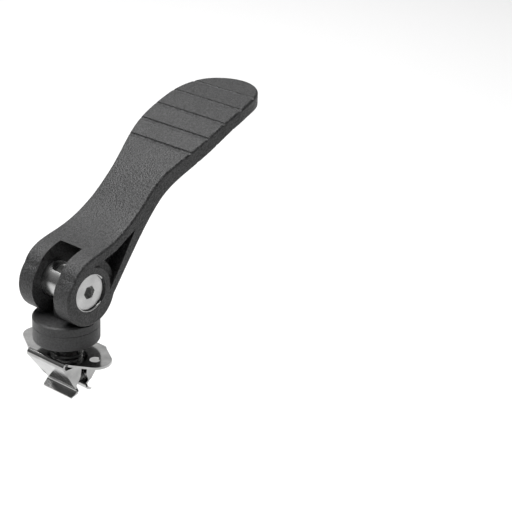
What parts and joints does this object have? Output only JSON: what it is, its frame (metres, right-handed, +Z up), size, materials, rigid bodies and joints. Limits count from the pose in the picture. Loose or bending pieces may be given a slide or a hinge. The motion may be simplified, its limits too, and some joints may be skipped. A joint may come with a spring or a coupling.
{
  "type": "cam clamping lever",
  "caption": "Black thumb lever with a forked cam eye on a cross pin that draws a pointed stud through a round saddle and a folded spring-steel clip.",
  "frame": {"origin": "on the stud axis, on the underside of the clip plate, midway between its two holes", "axes": "+Z up along the stud towards the lever, +X the way the lever leans, Y along the pivot pin"},
  "size_m": [0.0945, 0.036, 0.0843],
  "materials": {
    "lever_plastic": "fine-grained black",
    "saddle_plastic": "smooth matt black",
    "pin_steel": "satin",
    "ring_steel": "drawn wire",
    "stud_steel": "turned",
    "spring_steel": "drawn wire",
    "clip_steel": "bright rolled sheet"
  },
  "bodies": {
    "clip": {"spring_clip": "clip_steel", "return_spring": "spring_steel"},
    "saddle": {"cradle_washer": "saddle_plastic", "thrust_disc": "saddle_plastic"},
    "draw_bar": {"draw_stud": "stud_steel", "pivot_pin": "pin_steel"},
    "lever": {"lever_handle": "lever_plastic", "pin_ring_near": "ring_steel", "pin_ring_far": "ring_steel"}
  },
  "joints": [
    {"name": "head_swivel", "type": "hinge", "parent": "clip", "child": "saddle", "pos_m": [0, 0, 0], "axis": [0, 0, 1], "continuous": true},
    {"name": "stud_draw", "type": "slide", "parent": "saddle", "child": "draw_bar", "axis": [0, 0, 1], "range_m": [-0.00135, 0.00016]},
    {"name": "lever_pivot", "type": "hinge", "parent": "draw_bar", "child": "lever", "pos_m": [0, 0, 0.0234], "axis": [0, -1, 0], "range_deg": [-9, 81]}
  ],
  "couplings": [
    {"joint": "stud_draw", "follows": "lever_pivot", "m_per_rad": -0.000933}
  ]
}
